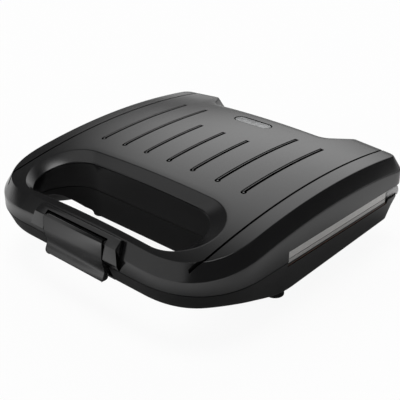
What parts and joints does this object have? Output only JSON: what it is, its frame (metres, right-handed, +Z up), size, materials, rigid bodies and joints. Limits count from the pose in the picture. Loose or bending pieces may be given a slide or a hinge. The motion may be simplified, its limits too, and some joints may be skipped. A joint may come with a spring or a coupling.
{
  "type": "sandwich toaster",
  "caption": "Two-slice electric sandwich toaster: hinged domed lid over a base, ridged plates, swing latch and a carrying handle formed around a through opening.",
  "frame": {"origin": "centre of the footprint, on the surface that the feet stand on", "axes": "+X to the right, +Y from the handle towards the hinge, +Z up"},
  "size_m": [0.23, 0.237, 0.0825],
  "materials": {
    "cover_black": "satin",
    "frame_black": "matt",
    "frame_brown": "matt",
    "plate": "satin",
    "heater_sheath": "dull",
    "shield": "bright",
    "steel": "satin",
    "lens": "clear",
    "board": "matt",
    "red_glass": "clear",
    "green_glass": "clear",
    "rubber": "matt",
    "ceramic": "matt"
  },
  "bodies": {
    "base": {"lower_cover": "cover_black", "lower_inner_frame": "frame_brown", "lower_handle_liner": "frame_black", "lower_plate": "plate", "lower_heater": "heater_sheath", "lower_heat_shield": "shield", "thermostat": "ceramic", "sensor_screws": "steel", "thermal_fuse": "ceramic", "fuse_clip": "shield", "terminal_block": "ceramic", "terminal_screws": "steel", "cord_bush": "rubber", "foot_pads": "rubber", "hinge_pins": "steel", "lower_cover_screws": "steel", "lower_handle_screws": "steel", "lower_plate_screws": "steel", "lower_shield_screws": "steel"},
    "lid": {"upper_cover": "cover_black", "upper_inner_frame": "frame_black", "upper_handle_liner": "frame_black", "upper_plate": "plate", "upper_heater": "heater_sheath", "upper_heat_shield": "shield", "indicator_lens": "lens", "lamp_board": "board", "red_lamp": "red_glass", "green_lamp": "green_glass", "latch_pin": "steel", "upper_cover_screws": "steel", "upper_handle_screws": "steel", "upper_plate_screws": "steel", "upper_shield_screws": "steel", "lamp_board_screws": "steel"},
    "latch": {"latch": "cover_black"}
  },
  "joints": [
    {"name": "lid_hinge", "type": "hinge", "parent": "base", "child": "lid", "pos_m": [0, 0.1075, 0.0425], "axis": [-1, 0, 0], "range_deg": [0, 96]},
    {"name": "latch_pivot", "type": "hinge", "parent": "lid", "child": "latch", "pos_m": [0, -0.1125, 0.0585], "axis": [-1, 0, 0], "range_deg": [0, 35]}
  ]
}
